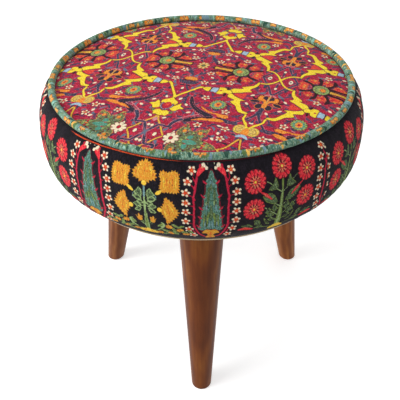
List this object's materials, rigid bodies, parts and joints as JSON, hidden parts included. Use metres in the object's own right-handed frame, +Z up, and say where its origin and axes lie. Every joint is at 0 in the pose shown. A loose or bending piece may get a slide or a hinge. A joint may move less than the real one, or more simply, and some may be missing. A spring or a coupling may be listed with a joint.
{
  "type": "footstool",
  "caption": "Round footstool: a carpet-patterned padded seat with piping round its top edge, on splayed tapered wooden legs.",
  "frame": {"origin": "on the floor, below the middle of the round seat", "axes": "+Z up along the seat's axis; the front leg stands towards -Y, the other two 120 degrees round on each side"},
  "size_m": [0.3799, 0.38, 0.3662],
  "materials": {
    "top_cloth": "woven, printed in many colours, matt",
    "band_cloth": "woven, printed in many colours, matt",
    "piping_cloth": "woven, patterned, matt",
    "cotton_cord": "twisted cotton",
    "trim_cord": "twisted cord, matt",
    "wadding": "soft",
    "foam": "open cells",
    "plywood": "raw",
    "dust_cloth": "spun-bonded, matt",
    "staple_wire": "galvanised",
    "plate_steel": "zinc plated",
    "bush_steel": "zinc plated",
    "screw_steel": "zinc plated",
    "bolt_steel": "zinc plated",
    "stained_wood": "walnut stain, satin varnish"
  },
  "bodies": {
    "root": {"top_panel": "top_cloth", "side_band": "band_cloth", "piping_cover": "piping_cloth", "piping_cord": "cotton_cord", "bottom_trim": "trim_cord", "wadding": "wadding", "foam_pad": "foam", "edge_foam": "foam", "seat_board": "plywood", "dust_cover": "dust_cloth", "band_staples": "staple_wire", "cover_staples": "staple_wire", "leg_plate_front": "plate_steel", "leg_plate_right": "plate_steel", "leg_plate_left": "plate_steel", "plate_bush_front": "bush_steel", "plate_bush_right": "bush_steel", "plate_bush_left": "bush_steel", "plate_screws_front": "screw_steel", "plate_screws_right": "screw_steel", "plate_screws_left": "screw_steel", "leg_bolt_front": "bolt_steel", "leg_bolt_right": "bolt_steel", "leg_bolt_left": "bolt_steel", "leg_front": "stained_wood", "leg_right": "stained_wood", "leg_left": "stained_wood"}
  },
  "joints": []
}
